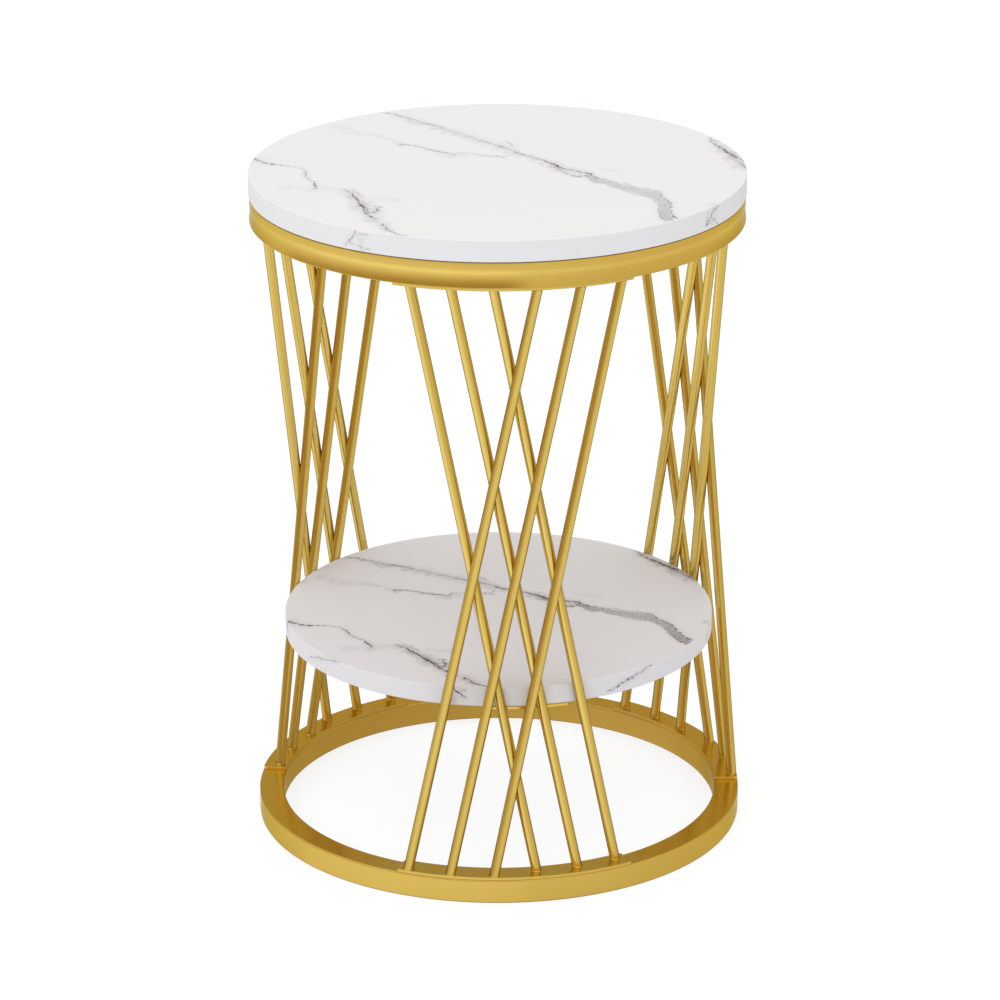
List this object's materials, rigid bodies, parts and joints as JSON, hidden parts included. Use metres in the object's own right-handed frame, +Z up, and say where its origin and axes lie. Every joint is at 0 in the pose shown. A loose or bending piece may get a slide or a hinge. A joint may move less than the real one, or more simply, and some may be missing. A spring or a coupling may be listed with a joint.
{
  "type": "tiered side table",
  "caption": "Round tiered side table: marble-look top and shelf in a gold steel cage of crossed straight rods on a round base ring.",
  "frame": {"origin": "centre of the table on the floor, in the plane of the base ring's underside", "axes": "+Z up along the table's axis; -Y towards the front panel of rods (its middle is 4 degrees to the right of -Y); +X to the right"},
  "size_m": [0.4019, 0.402, 0.554],
  "materials": {
    "marble_laminate": "white marble-look laminate on MDF, semi-gloss",
    "gold_steel": "satin gold on steel",
    "zinc_steel": "bright zinc on steel"
  },
  "bodies": {
    "root": {"top_board": "marble_laminate", "top_ring": "gold_steel", "shelf_board": "marble_laminate", "base_ring": "gold_steel", "top_screws": "zinc_steel", "shelf_screws": "zinc_steel", "base_nuts": "zinc_steel", "front_top_plate": "gold_steel", "front_base_plate": "gold_steel", "front_shelf_strip": "gold_steel", "front_outer_rod_1": "gold_steel", "front_outer_rod_2": "gold_steel", "front_outer_rod_3": "gold_steel", "front_inner_rod_1": "gold_steel", "front_inner_rod_2": "gold_steel", "front_inner_rod_3": "gold_steel", "right_top_plate": "gold_steel", "right_base_plate": "gold_steel", "right_shelf_strip": "gold_steel", "right_outer_rod_1": "gold_steel", "right_outer_rod_2": "gold_steel", "right_outer_rod_3": "gold_steel", "right_inner_rod_1": "gold_steel", "right_inner_rod_2": "gold_steel", "right_inner_rod_3": "gold_steel", "left_top_plate": "gold_steel", "left_base_plate": "gold_steel", "left_shelf_strip": "gold_steel", "left_outer_rod_1": "gold_steel", "left_outer_rod_2": "gold_steel", "left_outer_rod_3": "gold_steel", "left_inner_rod_1": "gold_steel", "left_inner_rod_2": "gold_steel", "left_inner_rod_3": "gold_steel"}
  },
  "joints": []
}
